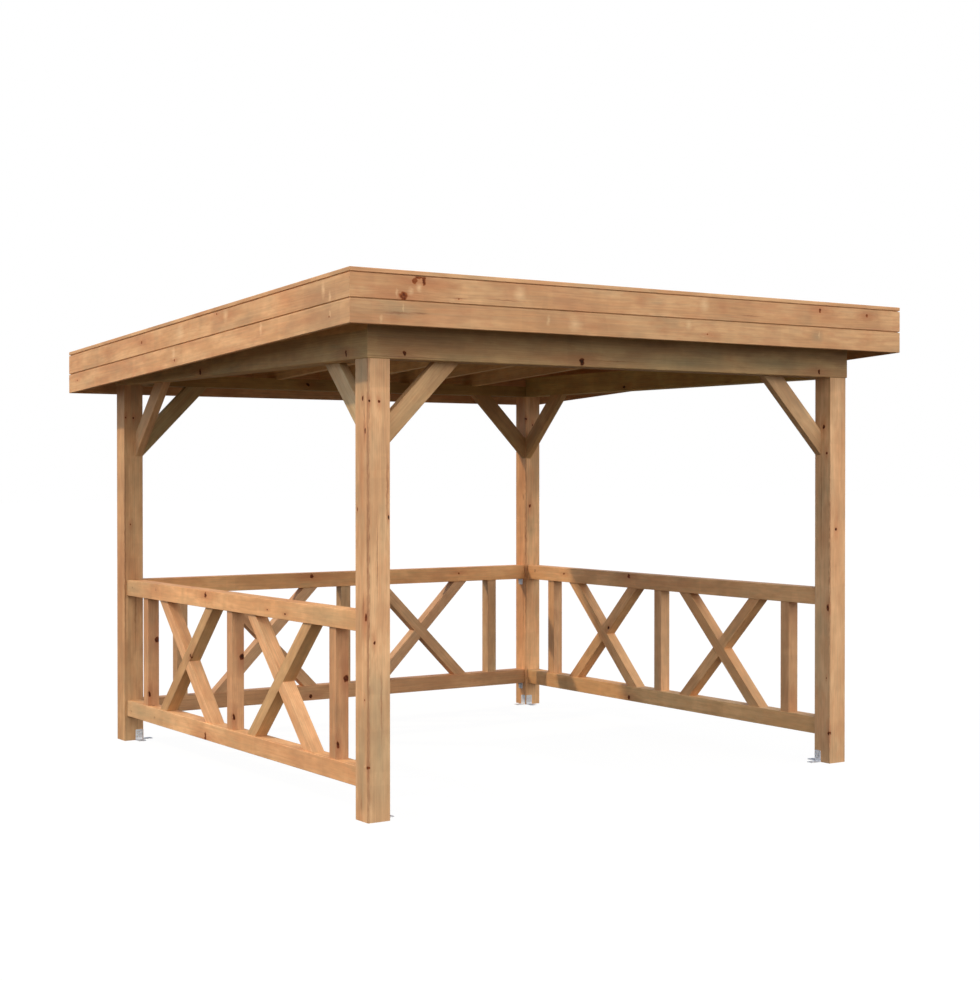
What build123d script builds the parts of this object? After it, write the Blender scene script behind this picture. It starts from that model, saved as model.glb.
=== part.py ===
"""Garden gazebo: an open square pavilion of brown impregnated softwood.

Four posts carry mitred beams, and knee braces stiffen every corner. Crossed balustrades close three
sides and the front is open. The single-pitch roof falls to the back behind a two-board fascia.
Millimetres. The origin is on the ground under the middle of the roof, +X to the right as seen from
the open front, +Y to the back, +Z up.
"""
import os
from math import cos, radians, sin, sqrt, tan

from build123d import *

# Posts, measured over their outer faces
frame_width = 3100
frame_depth = 3100
post_side = 120
post_height = 2170
arris = 3  # rounding of planed edges

# Beams on the post tops
beam_proud = 5  # how far the beams stand out past the posts
side_beam_height = 130
back_beam_height = 70

# Knee braces, cut at 45 degrees
brace_leg = 434  # from the post or beam corner to the far end of the cut
brace_depth = 100
brace_thickness = 45
brace_inset = 2  # from the posts' inner faces

# Roof
roof_pitch = 2.93  # degrees, falling to the back
overhang_side = 212
overhang_front = 207
overhang_back = 244
rafter_width = 45
rafter_depth = 125
rafter_spacing = 500
rafter_count = 5
rafter_seat = 8  # least depth of the notch over a beam
deck_thickness = 18
felt_thickness = 4
fascia_thickness = 20
fascia_board = 116.5  # height of each of the two boards
cap_width = 60
cap_thickness = 20
board_groove = 2  # chamfer on the outer long edges
joint_height = 5  # rebate along the top of each fascia board, which shows as a dark line
joint_depth = 8

# Balustrades, the same on three sides
rail_clearance = 152  # ground to the underside of the bottom rail
panel_height = 830  # from there to the top of the top rail
rail_height = 95
rail_thickness = 90
bar_thickness = 70  # of the balusters and diagonals, set back from the rails' faces
baluster_width = 70
baluster_gap = 235  # between a post and the nearest baluster
diagonal_width = 70
diagonal_angle = 45

# Galvanised angles at the feet and under the back rails
bracket_width = 45
bracket_sheet = 3
foot_leg = 65
rail_leg = 42
foot_edge_gap = 6  # from the post's inner corner to the angle
foot_hole_radius = 5.5
foot_hole_pitch = 25
foot_hole_edge = 20  # from the tip of a leg to the farther hole

# Places that follow from these sizes
clear_width = frame_width - 2 * post_side
clear_depth = frame_depth - 2 * post_side
post_shift = (overhang_front - overhang_back) / 2  # the roof reaches further out at the back
post_x = (frame_width - post_side) / 2
post_y = (frame_depth - post_side) / 2
inner_x = clear_width / 2
inner_front = post_shift - clear_depth / 2
inner_back = post_shift + clear_depth / 2
beam_out_x = frame_width / 2 + beam_proud
beam_out_front = post_shift - frame_depth / 2 - beam_proud
beam_out_back = post_shift + frame_depth / 2 + beam_proud
roof_x = frame_width / 2 + overhang_side
roof_y = (frame_depth + overhang_front + overhang_back) / 2

fall = tan(radians(roof_pitch))
rafter_datum = post_height + back_beam_height - rafter_seat  # underside at the back beam's inner face


def rafter_under(y):
    """Height of the rafters' underside at a place from front to back."""
    return rafter_datum + (inner_back - y) * fall


front_beam_height = rafter_under(beam_out_front) + rafter_seat - post_height
slope = Plane(
    origin=(0, 0, rafter_under(0)),
    x_dir=(1, 0, 0),
    z_dir=(0, sin(radians(roof_pitch)), cos(radians(roof_pitch))),
)
deck_under = rafter_depth * cos(radians(roof_pitch))
felt_under = deck_under + deck_thickness
cap_under = felt_under + felt_thickness
cap_top = cap_under + cap_thickness
board_split = cap_under - fascia_board
board_under = board_split - fascia_board
roof_reach = cap_top + roof_y  # taller than any piece cut to the slope

os.makedirs("parts", exist_ok=True)


def save(part, name):
    part.label = name
    export_step(part, f"parts/{name}.step")


def mitred(side, x_out, front_out, back_out, width):
    """Plan of one side of a mitred ring: two outer corners, then two inner corners."""
    x_in = x_out - width
    front_in = front_out + width
    back_in = back_out - width
    plans = {
        "front": ((-x_out, front_out), (x_out, front_out), (x_in, front_in), (-x_in, front_in)),
        "back": ((x_out, back_out), (-x_out, back_out), (-x_in, back_in), (x_in, back_in)),
        "left": ((-x_out, back_out), (-x_out, front_out), (-x_in, front_in), (-x_in, back_in)),
        "right": ((x_out, front_out), (x_out, back_out), (x_in, back_in), (x_in, front_in)),
    }
    return plans[side]


outward = {"front": -Axis.Y, "back": Axis.Y, "left": -Axis.X, "right": Axis.X}


def post(x, y):
    """A square planed post standing on the ground."""
    with BuildPart() as upright:
        with BuildSketch(Plane.XY):
            with Locations((x, y)):
                RectangleRounded(post_side, post_side, arris)
        extrude(amount=post_height)
    return upright.part


def beam(side, height):
    """A level beam on the post tops, mitred over the corner posts."""
    with BuildPart() as timber:
        with BuildSketch(Plane.XY.offset(post_height)):
            with BuildLine():
                Polyline(
                    *mitred(side, beam_out_x, beam_out_front, beam_out_back, post_side + beam_proud),
                    close=True,
                )
            make_face()
        extrude(amount=height)
        outer_face = timber.faces().sort_by(outward[side])[-1]
        chamfer(outer_face.edges().sort_by(Axis.Z)[0], length=arris)
    return timber.part


def knee_braces(side_x, side_y):
    """The two 45 degree braces of one post, one under each beam."""
    brace_reach = brace_leg - brace_depth * sqrt(2)
    corner_y = inner_back if side_y > 0 else inner_front
    profile = ((0, -brace_leg), (0, -brace_reach), (brace_reach, 0), (brace_leg, 0))
    with BuildPart() as pair:
        along_x = Plane(
            origin=(side_x * inner_x, corner_y + side_y * brace_inset, post_height),
            x_dir=(-side_x, 0, 0),
            z_dir=(0, side_x, 0),
        )
        with BuildSketch(along_x):
            with BuildLine():
                Polyline(*profile, close=True)
            make_face()
        extrude(amount=side_x * side_y * brace_thickness)
        along_y = Plane(
            origin=(side_x * (inner_x + brace_inset), corner_y, post_height),
            x_dir=(0, -side_y, 0),
            z_dir=(-side_y, 0, 0),
        )
        with BuildSketch(along_y):
            with BuildLine():
                Polyline(*profile, close=True)
            make_face()
        extrude(amount=-side_x * side_y * brace_thickness)
        fillet(pair.edges().filter_by(lambda edge: edge.length > brace_reach), radius=arris)
    return pair.part


def rafter_profile(notched):
    """Side view of a rafter between the fascias, notched over the beams or plain."""
    front = -roof_y + fascia_thickness
    back = roof_y - fascia_thickness
    front_seat = post_height + front_beam_height
    back_seat = post_height + back_beam_height
    notches = (
        (beam_out_front, rafter_under(beam_out_front)),
        (beam_out_front, front_seat),
        (inner_front, front_seat),
        (inner_front, rafter_under(inner_front)),
        (inner_back, rafter_under(inner_back)),
        (inner_back, back_seat),
        (beam_out_back, back_seat),
        (beam_out_back, rafter_under(beam_out_back)),
    )
    ends = ((back, rafter_under(back)), (back, rafter_under(back) + rafter_depth))
    return (
        (front, rafter_under(front) + rafter_depth),
        (front, rafter_under(front)),
        *(notches if notched else ()),
        *ends,
    )


def rafter_set(places, notched):
    """Rafters that run from front to back, one at each place across the roof."""
    with BuildPart() as rafters:
        for x in places:
            with BuildSketch(Plane.YZ.offset(x)):
                with BuildLine():
                    Polyline(*rafter_profile(notched), close=True)
                make_face()
            extrude(amount=rafter_width / 2, both=True)
    return rafters.part


def roof_sheet(low, high):
    """A sheet of the roof inside the fascia, between two heights above the rafters' underside."""
    with BuildPart() as sheet:
        with BuildSketch(Plane.XY):
            Rectangle(2 * (roof_x - fascia_thickness), 2 * (roof_y - fascia_thickness))
        extrude(amount=roof_reach + post_height)
        split(bisect_by=slope.offset(low), keep=Keep.TOP)
        split(bisect_by=slope.offset(high), keep=Keep.BOTTOM)
    return sheet.part


def edge_strip(side, width, low, high):
    """A plumb strip along one roof edge, mitred at the corners, its long edges on the slope."""
    with BuildPart() as strip:
        with BuildSketch(Plane.XY):
            with BuildLine():
                Polyline(*mitred(side, roof_x, -roof_y, roof_y, width), close=True)
            make_face()
        extrude(amount=roof_reach + post_height)
        split(bisect_by=slope.offset(low), keep=Keep.TOP)
        split(bisect_by=slope.offset(high), keep=Keep.BOTTOM)
    return strip.part


def edge_board(side, width, low, high, rebated):
    """A board with its outer long edges eased, and a rebate along its top where another lies on it."""
    blank = edge_strip(side, width, low, high)
    rebate = edge_strip(side, joint_depth, high - joint_height, high)
    with BuildPart() as board:
        add(blank)
        outer_face = board.faces().sort_by(outward[side])[-1]
        chamfer(outer_face.edges().sort_by(SortBy.LENGTH)[-2:], length=board_groove)
        if rebated:
            add(rebate, mode=Mode.SUBTRACT)
    return board.part


class Panel:
    """Where one balustrade stands: its plane as seen from outside, its run and its clear length."""

    def __init__(self, side):
        places = {
            "left": ((-post_x, post_shift), (0, -1, 0), (-1, 0, 0), Axis.Y, clear_depth),
            "right": ((post_x, post_shift), (0, 1, 0), (1, 0, 0), Axis.Y, clear_depth),
            "back": ((0, post_shift + post_y), (-1, 0, 0), (0, 1, 0), Axis.X, clear_width),
        }
        place, run, normal, self.axis, self.length = places[side]
        self.plane = Plane(origin=(*place, 0), x_dir=run, z_dir=normal)
        self.run = Vector(*run)
        self.end_baluster = self.length / 2 - baluster_gap - baluster_width / 2
        self.bay = self.end_baluster / 2  # middle of each crossed bay


rail_top = rail_clearance + panel_height
infill_low = rail_clearance + rail_height
infill_high = rail_top - rail_height
infill_height = infill_high - infill_low
infill_middle = (infill_low + infill_high) / 2


def rail(panel, under):
    """A rail between two posts."""
    with BuildPart() as bar:
        with BuildSketch(panel.plane):
            with Locations((0, under + rail_height / 2)):
                Rectangle(panel.length, rail_height)
        extrude(amount=rail_thickness / 2, both=True)
        fillet(bar.edges().filter_by(panel.axis), radius=arris)
    return bar.part


def balusters(panel):
    """One upright near each post and one in the middle."""
    with BuildPart() as uprights:
        with BuildSketch(panel.plane):
            for place in (-panel.end_baluster, 0, panel.end_baluster):
                with Locations((place, infill_middle)):
                    Rectangle(baluster_width, infill_height)
        extrude(amount=bar_thickness / 2, both=True)
        fillet(uprights.edges().filter_by(Axis.Z), radius=arris)
    return uprights.part


def diagonal_outline(middle, lean):
    """A bar across a bay from rail to rail; lean 1 rises to the right as seen from outside."""
    half_cut = diagonal_width / 2 / sin(radians(diagonal_angle))
    half_run = lean * infill_height / 2 / tan(radians(diagonal_angle))
    return (
        (middle - half_run - half_cut, infill_low),
        (middle - half_run + half_cut, infill_low),
        (middle + half_run + half_cut, infill_high),
        (middle + half_run - half_cut, infill_high),
    )


def diagonal_edges(builder, panel, lean):
    """The long edges of the bars that lean one way."""
    rise = radians(diagonal_angle)
    line = panel.run * (lean * cos(rise)) + Vector(0, 0, sin(rise))
    return builder.edges().filter_by(Axis((0, 0, 0), line))


def long_diagonals(panel):
    """The unbroken bar of each cross."""
    with BuildPart() as bars:
        with BuildSketch(panel.plane):
            for middle in (-panel.bay, panel.bay):
                with BuildLine():
                    Polyline(*diagonal_outline(middle, 1), close=True)
                make_face()
        extrude(amount=bar_thickness / 2, both=True)
        fillet(diagonal_edges(bars, panel, 1), radius=arris)
    return bars.part


def short_diagonals(panel):
    """The other bar of each cross, in two halves that butt against the unbroken one."""
    with BuildPart() as halves:
        with BuildSketch(panel.plane):
            for middle in (-panel.bay, panel.bay):
                with BuildLine():
                    Polyline(*diagonal_outline(middle, -1), close=True)
                make_face()
        extrude(amount=bar_thickness / 2, both=True)
        fillet(diagonal_edges(halves, panel, -1), radius=arris)
        with BuildSketch(panel.plane):
            for middle in (-panel.bay, panel.bay):
                with BuildLine():
                    Polyline(*diagonal_outline(middle, 1), close=True)
                make_face()
        extrude(amount=bar_thickness, both=True, mode=Mode.SUBTRACT)
    return halves.part


def angle_outline(leg):
    """Side view of a bent angle with its corner at the origin, legs to the right and downwards."""
    return (
        (0, 0),
        (leg, 0),
        (leg, -bracket_sheet),
        (bracket_sheet, -bracket_sheet),
        (bracket_sheet, -leg),
        (0, -leg),
    )


def rail_brackets(panel):
    """The angles that carry the ends of a panel's rails on the posts."""
    with BuildPart() as angles:
        for under in (rail_clearance, rail_top - rail_height):
            for end in (-1, 1):
                start = panel.plane.from_local_coords(Vector(end * panel.length / 2, under, 0))
                corner = Plane(origin=start, x_dir=panel.run * -end, z_dir=panel.plane.z_dir * -end)
                with BuildSketch(corner):
                    with BuildLine():
                        Polyline(*angle_outline(rail_leg), close=True)
                    make_face()
                extrude(amount=bracket_width / 2, both=True)
    return angles.part


def ground_brackets():
    """Two angles on the inner faces of each post foot, with holes for ground screws."""
    inner_hole = foot_leg - foot_hole_edge - foot_hole_pitch
    with BuildPart() as angles:
        for side_x in (-1, 1):
            for side_y, corner_y in ((-1, inner_front), (1, inner_back)):
                middle = foot_edge_gap + bracket_width / 2
                feet = (
                    ((side_x * inner_x, corner_y + side_y * middle), (-side_x, 0, 0), (0, side_x, 0)),
                    ((side_x * (inner_x + middle), corner_y), (0, -side_y, 0), (-side_y, 0, 0)),
                )
                for place, run, normal in feet:
                    heel = Plane(origin=(*place, 0), x_dir=run, z_dir=normal)
                    with BuildSketch(heel):
                        with BuildLine():
                            Polyline(*((x, -y) for x, y in angle_outline(foot_leg)), close=True)
                        make_face()
                    extrude(amount=bracket_width / 2, both=True)
                    sole = Plane(origin=(*place, 0), x_dir=run, z_dir=(0, 0, 1))
                    with BuildSketch(sole):
                        with Locations((inner_hole, 0), (inner_hole + foot_hole_pitch, 0)):
                            Circle(foot_hole_radius)
                    extrude(amount=bracket_sheet, mode=Mode.SUBTRACT)
    return angles.part


panels = {side: Panel(side) for side in ("left", "back", "right")}

for side_x, x_name in ((-1, "left"), (1, "right")):
    for side_y, y_name in ((-1, "front"), (1, "back")):
        save(post(side_x * post_x, post_shift + side_y * post_y), f"post_{y_name}_{x_name}")
        save(knee_braces(side_x, side_y), f"braces_{y_name}_{x_name}")

beam_heights = {
    "front": front_beam_height,
    "back": back_beam_height,
    "left": side_beam_height,
    "right": side_beam_height,
}
for side, height in beam_heights.items():
    save(beam(side, height), f"beam_{side}")
    save(edge_board(side, fascia_thickness, board_under, board_split, True), f"fascia_{side}_lower")
    save(edge_board(side, fascia_thickness, board_split, cap_under, True), f"fascia_{side}_upper")
    save(edge_board(side, cap_width, cap_under, cap_top, False), f"cap_{side}")

middle_rafter = (rafter_count - 1) / 2
save(rafter_set([(i - middle_rafter) * rafter_spacing for i in range(rafter_count)], True), "rafters")
edge_rafter_x = roof_x - fascia_thickness - rafter_width / 2
save(rafter_set([-edge_rafter_x, edge_rafter_x], False), "edge_rafters")
save(roof_sheet(deck_under, felt_under), "roof_deck")
save(roof_sheet(felt_under, cap_under), "roof_felt")

for side, panel in panels.items():
    save(rail(panel, rail_top - rail_height), f"{side}_top_rail")
    save(rail(panel, rail_clearance), f"{side}_bottom_rail")
    save(balusters(panel), f"{side}_balusters")
    save(long_diagonals(panel), f"{side}_long_diagonals")
    save(short_diagonals(panel), f"{side}_short_diagonals")

save(rail_brackets(panels["back"]), "rail_brackets")
save(ground_brackets(), "ground_brackets")
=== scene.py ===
# %% [markdown]
# # A garden gazebo of treated pine
# The carpentry was drawn as solids, and this lesson gives it its looks. Every timber keeps the shape and
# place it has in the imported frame. We add what a drawing leaves out: knee braces with a grain of their own,
# the roof boards, the lapped felt, the punched steel angles with their screws, and above all the wood itself.

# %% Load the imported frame
import random
from math import cos, radians, sin, sqrt, tan

import bpy
from mathutils import Matrix, Vector


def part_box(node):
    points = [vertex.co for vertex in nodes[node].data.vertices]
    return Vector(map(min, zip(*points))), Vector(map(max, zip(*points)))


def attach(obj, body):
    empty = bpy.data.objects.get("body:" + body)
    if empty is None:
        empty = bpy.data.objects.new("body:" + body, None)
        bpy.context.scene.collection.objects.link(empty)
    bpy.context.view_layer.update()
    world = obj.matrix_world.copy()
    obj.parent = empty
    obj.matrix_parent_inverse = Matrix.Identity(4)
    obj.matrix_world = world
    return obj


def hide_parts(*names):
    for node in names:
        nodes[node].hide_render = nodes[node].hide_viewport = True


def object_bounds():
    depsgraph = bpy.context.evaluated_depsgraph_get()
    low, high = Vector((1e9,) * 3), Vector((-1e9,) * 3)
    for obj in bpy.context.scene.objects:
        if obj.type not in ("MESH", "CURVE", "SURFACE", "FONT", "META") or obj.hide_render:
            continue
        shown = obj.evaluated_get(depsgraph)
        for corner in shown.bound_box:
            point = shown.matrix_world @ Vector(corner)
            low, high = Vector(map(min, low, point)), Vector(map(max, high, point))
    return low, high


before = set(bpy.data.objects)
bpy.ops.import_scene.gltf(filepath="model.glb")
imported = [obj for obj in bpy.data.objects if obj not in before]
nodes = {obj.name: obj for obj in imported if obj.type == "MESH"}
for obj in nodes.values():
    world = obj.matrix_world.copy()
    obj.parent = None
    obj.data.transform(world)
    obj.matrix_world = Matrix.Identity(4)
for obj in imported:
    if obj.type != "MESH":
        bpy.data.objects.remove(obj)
cad_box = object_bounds()
print("frame:", len(nodes), "nodes, box", [tuple(round(c, 3) for c in corner) for corner in cad_box])

# %% [markdown]
# ## Sizes shared with the drawing
# Sizes are in metres. Those that show in the box round a node are read from the frame, and the others, such
# as the roof's pitch, are the ones that the solids were drawn with. The origin lies on the ground under the
# middle of the roof, X runs to the right as seen from the open front, Y runs to the back, and Z is up. The
# roof falls to the back by a little under three degrees.


# %% Sizes of the frame and the balustrades
def size_of(name):
    """How far a node reaches along each axis."""
    low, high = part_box(name)
    return high - low


X, Y, Z = Vector((1, 0, 0)), Vector((0, 1, 0)), Vector((0, 0, 1))
post_side, post_height = size_of("post_front_left").xz
inner_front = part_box("post_front_left")[1].y  # inner faces of the posts
inner_x, inner_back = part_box("post_back_right")[0].xy
post_x = inner_x + post_side / 2
post_shift = (inner_front + inner_back) / 2  # the roof reaches further out at the back than at the front
front_y, back_y = post_shift - post_x, post_shift + post_x
rail_thickness, rail_height = size_of("left_bottom_rail").xz
rail_low, rail_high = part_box("left_bottom_rail")[0].z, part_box("left_top_rail")[1].z
infill_low, infill_high = rail_low + rail_height, rail_high - rail_height
infill_middle = (infill_low + infill_high) / 2
bar_thickness, row_length = size_of("left_balusters").xy
baluster_step = (row_length - bar_thickness) / 2  # from the middle baluster to the next one
brace_leg = post_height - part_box("braces_front_left")[0].z
brace_depth, brace_thickness, brace_inset = 0.100, 0.045, 0.002
arris = 0.003
print("posts", round(2 * post_x, 3), "m apart, balusters", round(baluster_step, 3), "m apart")

# %% Sizes of the roof and the steel
roof_x, roof_y = cad_box[1].xy
fascia_thickness = size_of("fascia_front_upper").y
fascia_board, cap_thickness = 0.1165, 0.020
pitch = radians(2.93)
fall = tan(pitch)
down_slope = Vector((0, cos(pitch), -sin(pitch)))
rafter_seat = 2.2320  # underside of the rafters over the inner faces of the back posts
rafter_under = rafter_seat + inner_back * fall  # and over the origin
rafter_width, rafter_depth, rafter_step = 0.045, 0.125, 0.5
deck_under = 0.12484  # above the rafters' underside, square to the slope
deck_thickness, felt_thickness = 0.018, 0.004
bracket_width, bracket_sheet, foot_edge_gap = 0.045, 0.003, 0.006
foot_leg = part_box("ground_brackets")[1].z
rail_leg = rail_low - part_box("rail_brackets")[0].z
print("roof falls", round(2 * roof_y * fall * 1000), "mm from front to back")

# %% [markdown]
# ## The camera
# The photograph was taken from the front left, at about eye height, with the lens almost level. The camera
# was found from the edges of the four posts: where it stands, how far it turns and how long its lens is.

# %% Camera
camera_place = (-5.5482, -8.5640, 1.6385)
camera_tilt, camera_turn = radians(89.392), radians(-33.792)
bpy.ops.object.select_all(action="DESELECT")
bpy.ops.object.camera_add(location=camera_place, rotation=(camera_tilt, 0, camera_turn))
camera = bpy.context.object
camera.data.sensor_width = 36
camera.data.lens = 63.406
bpy.context.scene.camera = camera
bpy.context.scene.view_settings.view_transform = "Standard"  # colours come out as they are set
print("camera at", camera_place, "lens", camera.data.lens)

# %% [markdown]
# ## One way to add nodes, one way to set colours
# A finish is a tree of nodes. This small function adds a node with its settings, joins its sockets and
# gives back one of its outputs, so that a tree reads from top to bottom. Colours are picked as they look on
# a screen and have to be turned to linear light before a shader can use them.


# %% Helpers for nodes and colours
def put(tree, kind, feeds=None, out=0, **settings):
    """Adds a node, fed by values or other nodes' outputs. Returns one of its outputs, or all for None."""
    made = tree.nodes.new(kind if kind.startswith("NodeGroup") else f"ShaderNode{kind}")
    for name, value in settings.items():
        setattr(made, name, value)
    for name, feed in (feeds or {}).items():
        if isinstance(feed, bpy.types.NodeSocket):
            tree.links.new(feed, made.inputs[name])
        else:
            made.inputs[name].default_value = feed
    return made.outputs if out is None else made.outputs[out]


def linear(colour):
    """Linear red, green, blue and alpha of an sRGB hex colour such as #c69464."""
    shares = [int(colour[i : i + 2], 16) / 255 for i in (1, 3, 5)]
    return (*((s / 12.92 if s <= 0.04045 else ((s + 0.055) / 1.055) ** 2.4) for s in shares), 1)


def new_finish(name):
    """A new material and its tree, with no nodes in it yet."""
    finish = bpy.data.materials.new(name)
    finish.use_nodes = True
    finish.node_tree.nodes.clear()
    return finish, finish.node_tree


def per_metre(*millimetres):
    """Pattern scales from the real size of one repeat along each axis."""
    return tuple(1000 / size for size in millimetres)


print("tan in linear light:", tuple(round(c, 3) for c in linear("#c69464")))

# %% [markdown]
# ## The stage and its light
# The gazebo stands on a plain white studio floor. The light is a soft dome with two brighter windows, a wide
# one behind the camera and a cooler one on the left, and a warm sun from the back left that slips under the
# roof and touches the far corner. Real ground throws less light upwards than white paper does, so a second
# sheet that the camera can't see takes over the bounce: without it the roof's underside would not be dark.


# %% Floors
floor_side, floor_cuts = 160, 7
bounce_depth = 0.004  # the second sheet lies this far below the first


def studio_floor(name, colour, glow, height):
    """A wide floor sheet with a plain matt finish, cut up so that its middle has faces of its own."""
    bpy.ops.object.select_all(action="DESELECT")
    bpy.ops.mesh.primitive_plane_add(size=floor_side, location=(0, 0, height))
    sheet = bpy.context.object
    sheet.name = name
    bpy.ops.object.mode_set(mode="EDIT")
    bpy.ops.mesh.subdivide(number_cuts=floor_cuts)
    bpy.ops.object.mode_set(mode="OBJECT")
    bpy.ops.object.transform_apply(location=True, rotation=True, scale=True)
    paint = bpy.data.materials.new(f"matt_paint_rolled.{name}")
    paint.use_nodes = True
    shader = paint.node_tree.nodes["Principled BSDF"]
    shader.inputs["Base Color"].default_value = linear(colour)
    shader.inputs["Roughness"].default_value = 0.95
    shader.inputs["Specular IOR Level"].default_value = 0
    shader.inputs["Emission Color"].default_value = (1, 1, 1, 1)
    shader.inputs["Emission Strength"].default_value = glow
    sheet.data.materials.append(paint)
    return sheet


floor = studio_floor("studio_floor", "#3c3c3c", glow=0.965, height=0)
floor.visible_diffuse = floor.visible_glossy = floor.visible_shadow = False
bounce = studio_floor("ground_bounce", "#5f5a52", glow=0, height=-bounce_depth)
bounce.visible_camera = False
print("floors:", floor.name, bounce.name)

# %% Sun and dome
sun_strength, sun_spread = 2.05, radians(2.0)
sun_from = Vector((-0.593, 0.480, 0.646))
bpy.ops.object.light_add(type="SUN", location=sun_from * 10)
sun = bpy.context.object
sun.name = "low_sun"
sun.rotation_euler = sun_from.to_track_quat("Z", "Y").to_euler()
sun.data.energy = sun_strength
sun.data.angle = sun_spread
sun.data.color = linear("#ffdfb6")[:3]

world = bpy.context.scene.world or bpy.data.worlds.new("studio")
bpy.context.scene.world = world
world.use_nodes = True
sky = world.node_tree
sky.nodes.clear()
ray = put(sky, "TexCoord", out="Generated")
height = put(sky, "SeparateXYZ", {0: ray}, "Z")
above = put(sky, "MapRange", {"Value": height, "From Max": 0.28, "To Min": 0.38})
windows = {  # way it lies, where its edge starts and ends, light there
    "front": ((0.05, -0.93, 0.36), 0.30, 0.95, (2.56, 2.36, 2.10, 1)),
    "left": ((-0.98, 0.0, 0.20), 0.35, 1.0, (1.06, 1.10, 1.14, 1)),
}
glow = (0.44, 0.53, 0.66, 1)
for name, (way, edge, full, light) in windows.items():
    feeds = {0: ray, 1: Vector(way).normalized()}
    ahead = put(sky, "VectorMath", feeds, "Value", operation="DOT_PRODUCT")
    feeds = {"Value": ahead, "From Min": edge, "From Max": full}
    share = put(sky, "MapRange", feeds, interpolation_type="SMOOTHSTEP")
    if name == "front":
        share = put(sky, "Math", {0: share, 1: above}, operation="MULTIPLY")
    glow = put(sky, "Mix", {0: share, 6: glow, 7: light}, 2, data_type="RGBA")
camera_ray = put(sky, "LightPath", out="Is Camera Ray")
backdrop = put(sky, "Mix", {0: camera_ray, 6: glow, 7: (1, 1, 1, 1)}, 2, data_type="RGBA")
dome = put(sky, "Background", {"Color": backdrop})
put(sky, "OutputWorld", {"Surface": dome}, None)
print("light:", sun.name, "and", len(windows), "windows")

# %% [markdown]
# ## A knot
# A knot is the foot of a branch. On a planed face it shows as a dark oval with reddish wood round it, and
# the grain flows past it on both sides. Painting every knot by hand would take an image, so each one is
# worked out instead: how far is this point from the branch's line? The answer gives the dark core, and a
# wider, longer oval gives the swirl that bends the grain. A little noise makes its outline ragged. One group
# does it, and knots are chained one after another. Pale flecks, dark streaks, reddish patches and greyer
# stains are the same sum with a shorter or a longer oval.

# %% The knot group
knot_depth = 0.012  # how far a knot reaches into the timber
swirl_reach = 2.6  # the swirl is this many times wider than the knot
swirl_stretch = 3.5  # and this many times longer along the grain than across it
most_ragged = 0.010  # a large mark's outline is not more ragged than that of one with this radius


def socket(group, name, kind, way="INPUT"):
    """Gives a group an input or an output."""
    group.interface.new_socket(name=name, in_out=way, socket_type=f"NodeSocket{kind}")


branch = bpy.data.node_groups.new("branch_knot", "ShaderNodeTree")
for name in ("Place", "Ragged", "Centre", "Facing", "Grain"):
    socket(branch, name, "Vector")
for name in ("Radius", "Length", "Core", "Swirl"):
    socket(branch, name, "Float")
for name in ("Core", "Swirl"):
    socket(branch, name, "Float", "OUTPUT")
given = put(branch, "NodeGroupInput", out=None)
away = put(branch, "VectorMath", {0: given["Place"], 1: given["Centre"]}, operation="SUBTRACT")
depth = put(branch, "VectorMath", {0: away, 1: given["Facing"]}, "Value", operation="DOT_PRODUCT")
inside = put(branch, "Math", {0: depth, 1: 0, 2: knot_depth}, operation="COMPARE")
jag = put(branch, "Math", {0: given["Radius"], 1: most_ragged}, operation="MINIMUM")
jag = put(branch, "VectorMath", {0: given["Ragged"], "Scale": jag}, operation="SCALE")
away = put(branch, "VectorMath", {0: away, 1: jag}, operation="ADD")
depth = put(branch, "VectorMath", {0: away, 1: given["Facing"]}, "Value", operation="DOT_PRODUCT")
along = put(branch, "VectorMath", {0: away, 1: given["Grain"]}, "Value", operation="DOT_PRODUCT")
whole = put(branch, "VectorMath", {0: away, 1: away}, "Value", operation="DOT_PRODUCT")
depth_sq = put(branch, "Math", {0: depth, 1: depth}, operation="MULTIPLY")
along_sq = put(branch, "Math", {0: along, 1: along}, operation="MULTIPLY")
flat_sq = put(branch, "Math", {0: whole, 1: depth_sq}, operation="SUBTRACT")
side_sq = put(branch, "Math", {0: flat_sq, 1: along_sq}, operation="SUBTRACT")
ovals = {}
for name, stretch, reach in (("Core", given["Length"], 1), ("Swirl", swirl_stretch, swirl_reach)):
    stretch_sq = put(branch, "Math", {0: stretch, 1: stretch}, operation="MULTIPLY")
    shrunk = put(branch, "Math", {0: along_sq, 1: stretch_sq}, operation="DIVIDE")
    apart_sq = put(branch, "Math", {0: side_sq, 1: shrunk}, operation="ADD", use_clamp=True)
    apart = put(branch, "Math", {0: apart_sq}, operation="SQRT")
    edge = put(branch, "Math", {0: given["Radius"], 1: reach}, operation="MULTIPLY")
    oval = put(branch, "MapRange", {"Value": apart, "From Max": edge, "To Min": 1, "To Max": 0})
    oval = put(branch, "Math", {0: oval, 1: inside}, operation="MULTIPLY")
    ovals[name] = put(branch, "Math", {0: given[name], 1: oval}, operation="MAXIMUM")
put(branch, "NodeGroupOutput", ovals, None)
print("knot group:", len(branch.nodes), "nodes")

# %% [markdown]
# ## Pine, sawn and planed
# Pine grows in rings, and a board is a slice through them. So the rings are built as tubes round a heart
# line that wanders a little, and each face of the board cuts them as a saw would: straight lines here,
# pointed arches there, curves on the end. Fine fibres, dark and grey streaks, patches and small blotches
# where the brown preservative took more or less, and soft bands across the board are laid over that. Planed
# pine is a dull, dry surface: roughness about 0.65 and an index of refraction of 1.53. Real rings are 2 to
# 4 mm apart, which is too fine for a picture of a whole gazebo, so they are drawn 11 mm apart.

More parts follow.
